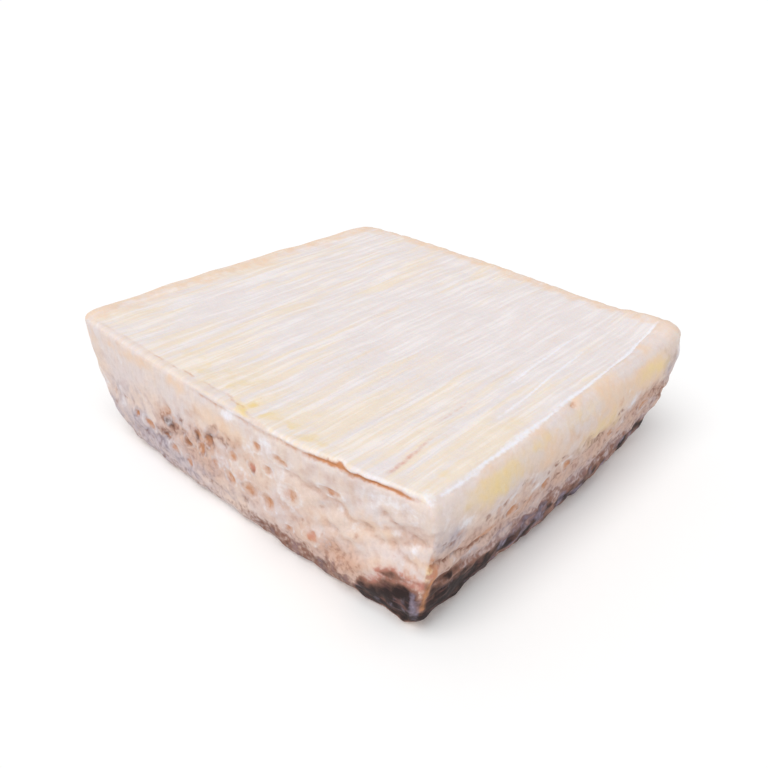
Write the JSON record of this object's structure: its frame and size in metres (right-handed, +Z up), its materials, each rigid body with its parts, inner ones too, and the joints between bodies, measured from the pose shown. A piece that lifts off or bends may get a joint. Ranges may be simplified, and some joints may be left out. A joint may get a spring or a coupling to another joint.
{
  "type": "square cheese wheel",
  "caption": "Whole soft washed-rind cheese in a low square slab with a ridged top, bulging walls and a mould-dusted rind.",
  "frame": {"origin": "centre of the base, on the surface the cheese stands on", "axes": "+Z up, +X along the fine ridges of the top, +Y across them, towards the back"},
  "size_m": [0.188, 0.194, 0.054],
  "materials": {
    "rind": "matte"
  },
  "bodies": {
    "root": {"cheese": "rind"}
  },
  "joints": []
}
